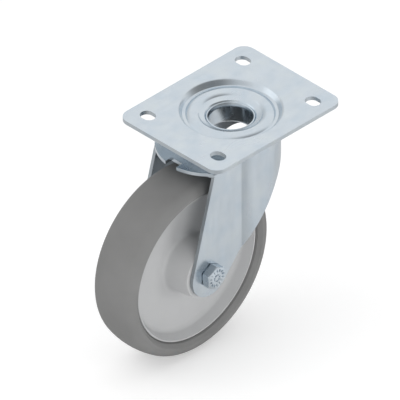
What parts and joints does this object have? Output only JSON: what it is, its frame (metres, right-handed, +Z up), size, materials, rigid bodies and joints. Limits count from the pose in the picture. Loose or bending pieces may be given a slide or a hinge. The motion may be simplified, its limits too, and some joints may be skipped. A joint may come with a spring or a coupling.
{
  "type": "castor wheel",
  "caption": "Plate-mounted swivel castor: pressed zinc-plated fork on a twin ball race, grey rubber tyre on a dished plastic wheel with a roller bearing and a bolted axle.",
  "frame": {"origin": "centre of the slot pattern on the mounting plate's top face, on the swivel axis", "axes": "+Z up, out of the mounting face; +X along the axle towards the bolt's head; +Y forwards, with the wheel trailing towards -Y"},
  "size_m": [0.11, 0.205, 0.195],
  "materials": {
    "plate_zinc": "bright blue-white zinc plating on pressed steel",
    "fork_zinc": "bright blue-white zinc plating on pressed steel",
    "kingpin_zinc": "zinc plated, turned and riveted over",
    "race_steel": "hardened steel, greased",
    "ball_steel": "polished bearing steel",
    "tube_steel": "ground steel tube",
    "bolt_zinc": "zinc-plated fastener",
    "cage_plastic": "dark moulded plastic",
    "seal_rubber": "black sealing rubber",
    "nylon": "natural white moulded nylon",
    "centre_plastic": "light grey moulded plastic, satin",
    "tyre_rubber": "grey non-marking rubber, matt"
  },
  "bodies": {
    "plate": {"top_plate": "plate_zinc", "kingpin": "kingpin_zinc", "lower_race": "race_steel"},
    "upper_ring": {"upper_balls": "ball_steel", "upper_ball_cage": "cage_plastic"},
    "lower_ring": {"lower_balls": "ball_steel", "lower_ball_cage": "cage_plastic"},
    "fork": {"swivel_fork": "fork_zinc", "dust_seal": "seal_rubber", "axle_tube": "tube_steel", "axle_bolt": "bolt_zinc", "nut_washer": "bolt_zinc", "axle_nut": "bolt_zinc", "lock_ring": "nylon"},
    "roller_set": {"bearing_rollers": "ball_steel", "roller_cage": "nylon"},
    "wheel": {"wheel_centre": "centre_plastic", "tyre": "tyre_rubber", "hub_seal_near": "seal_rubber", "hub_seal_far": "seal_rubber"}
  },
  "joints": [
    {"name": "swivel", "type": "hinge", "parent": "plate", "child": "fork", "pos_m": [0, 0, 0], "axis": [0, 0, 1], "continuous": true},
    {"name": "upper_ring_turn", "type": "hinge", "parent": "plate", "child": "upper_ring", "pos_m": [0, 0, -0.01018], "axis": [0, 0, 1], "continuous": true},
    {"name": "lower_ring_turn", "type": "hinge", "parent": "plate", "child": "lower_ring", "pos_m": [0, 0, -0.01861], "axis": [0, 0, 1], "continuous": true},
    {"name": "wheel_spin", "type": "hinge", "parent": "fork", "child": "wheel", "pos_m": [0, -0.055, -0.115], "axis": [1, 0, 0], "continuous": true},
    {"name": "roller_set_turn", "type": "hinge", "parent": "fork", "child": "roller_set", "pos_m": [0, -0.055, -0.115], "axis": [1, 0, 0], "continuous": true}
  ],
  "couplings": [
    {"joint": "upper_ring_turn", "follows": "swivel", "ratio": 0.5},
    {"joint": "lower_ring_turn", "follows": "swivel", "ratio": 0.5},
    {"joint": "roller_set_turn", "follows": "wheel_spin", "ratio": 0.5847}
  ]
}
